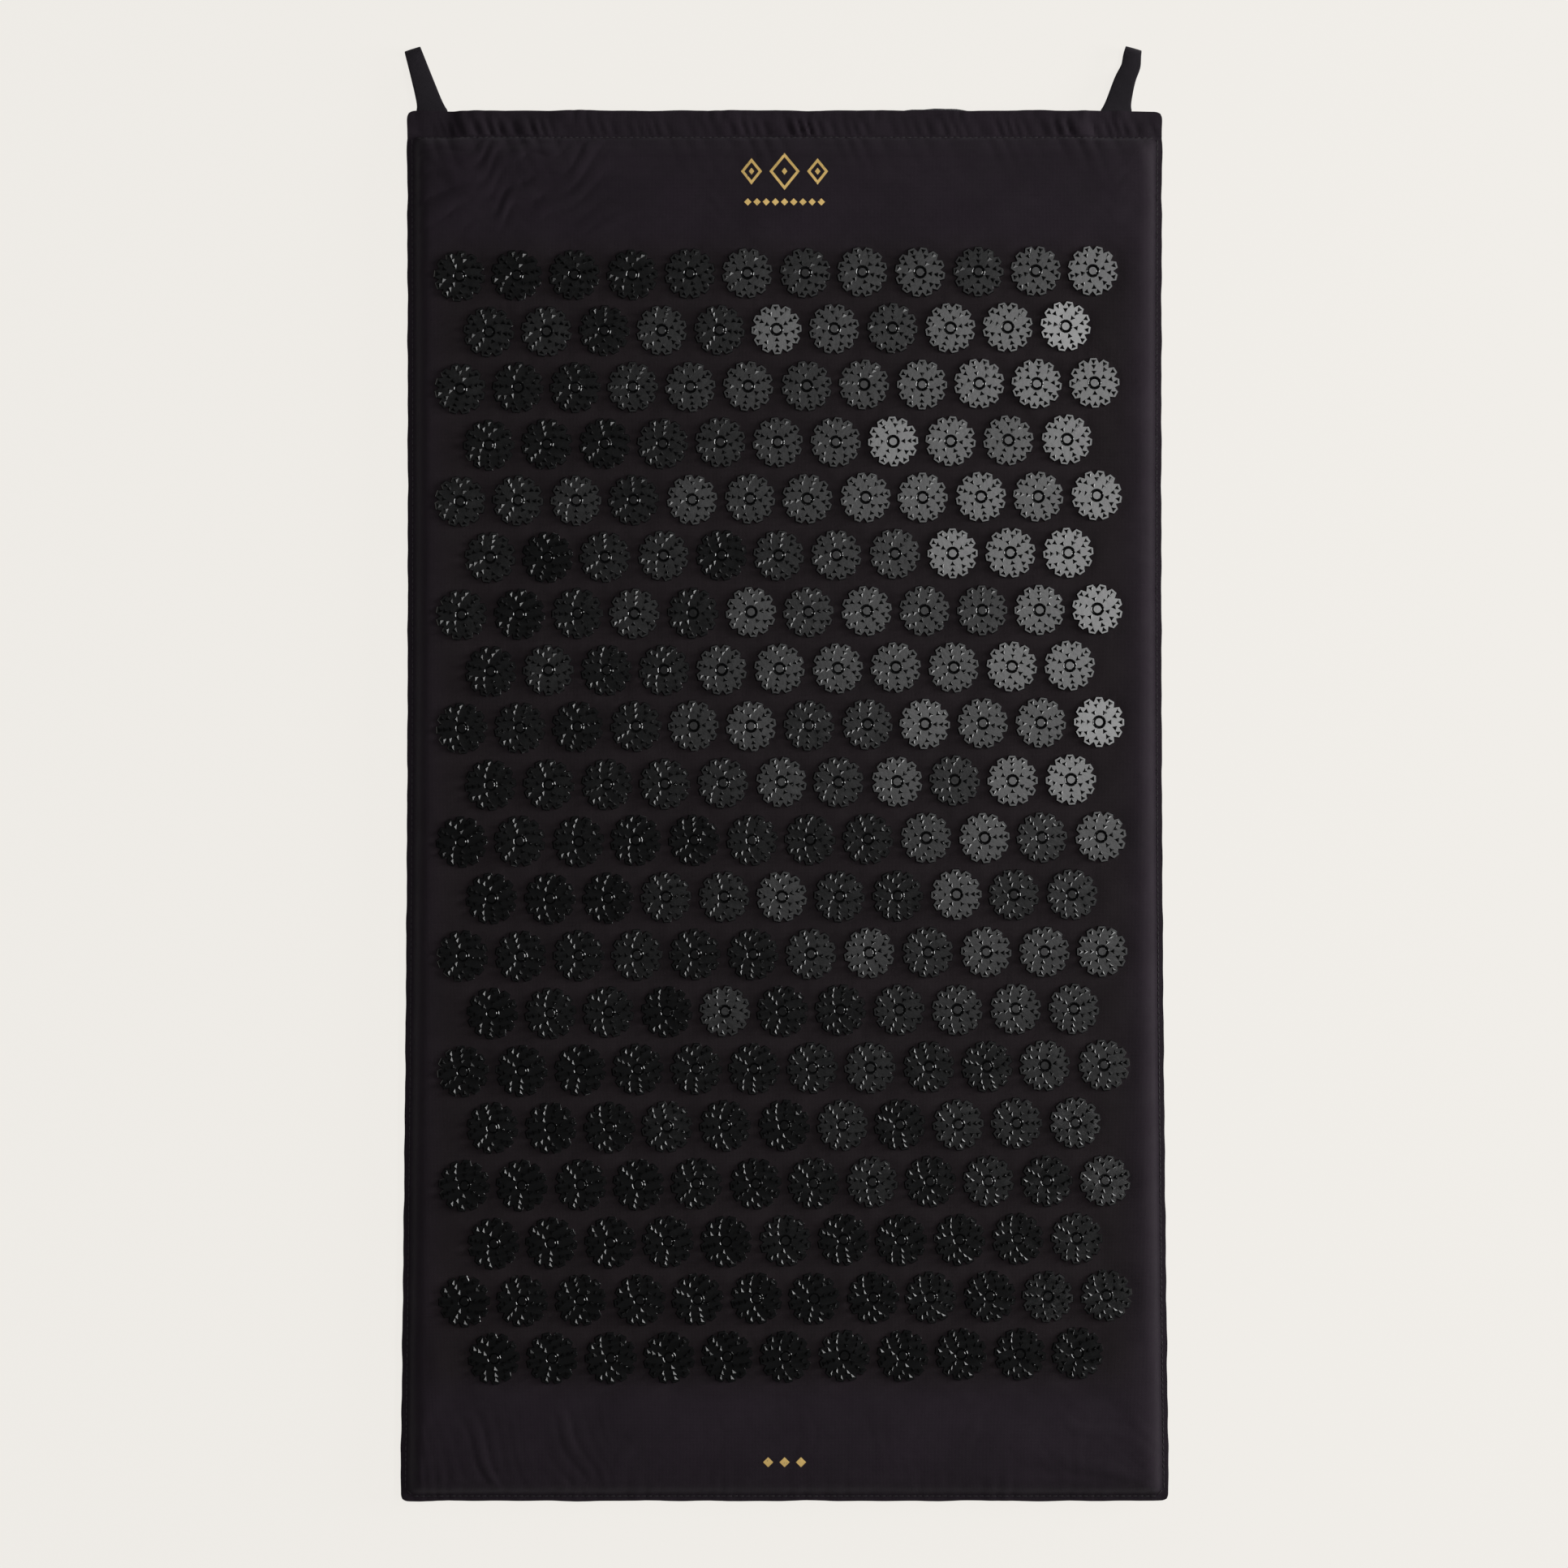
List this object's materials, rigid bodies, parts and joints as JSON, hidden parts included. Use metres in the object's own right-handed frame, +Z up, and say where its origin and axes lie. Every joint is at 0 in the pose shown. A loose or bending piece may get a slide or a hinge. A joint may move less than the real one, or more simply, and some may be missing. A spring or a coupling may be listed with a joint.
{
  "type": "acupressure mat",
  "caption": "Foam-filled cloth mat with staggered rows of spiked round discs, a flap-closed mouth in the top hem and two hanging loops.",
  "frame": {"origin": "middle of the cover's flat underside, on the floor", "axes": "+X across the mat to the right, +Y along it towards the hanging loops and the cover's mouth, +Z up out of the spiked face"},
  "size_m": [0.402, 0.7673, 0.0242],
  "materials": {
    "cover_cloth": "matte woven cotton",
    "loop_cloth": "matte folded cloth strip",
    "foam": "open-cell foam",
    "hook_and_loop": "rough hook and loop pile",
    "disc_plastic": "glossy"
  },
  "bodies": {
    "mat": {"top_panel": "cover_cloth", "bottom_panel": "cover_cloth", "foam_pad": "foam", "loop_tape": "hook_and_loop", "spike_disc_01": "disc_plastic", "spike_disc_02": "disc_plastic", "spike_disc_03": "disc_plastic", "spike_disc_04": "disc_plastic", "spike_disc_05": "disc_plastic", "spike_disc_06": "disc_plastic", "spike_disc_07": "disc_plastic", "spike_disc_08": "disc_plastic", "spike_disc_09": "disc_plastic", "spike_disc_10": "disc_plastic", "spike_disc_11": "disc_plastic", "spike_disc_12": "disc_plastic"},
    "flap": {"mouth_flap": "cover_cloth", "hook_tape": "hook_and_loop"},
    "left_loop": {"left_hanging_loop": "loop_cloth"},
    "right_loop": {"right_hanging_loop": "loop_cloth"}
  },
  "joints": [
    {"name": "mouth_flap_open", "type": "hinge", "parent": "mat", "child": "flap", "pos_m": [-0.00555, 0.352, 0.01185], "axis": [1, 0, 0], "range_deg": [0, 75]},
    {"name": "left_loop_swing", "type": "hinge", "parent": "mat", "child": "left_loop", "pos_m": [-0.1868, 0.3668, 0.0091], "axis": [1, 0, 0], "range_deg": [0, 90]},
    {"name": "right_loop_swing", "type": "hinge", "parent": "mat", "child": "right_loop", "pos_m": [0.1757, 0.3668, 0.0091], "axis": [1, 0, 0], "range_deg": [0, 90]}
  ]
}
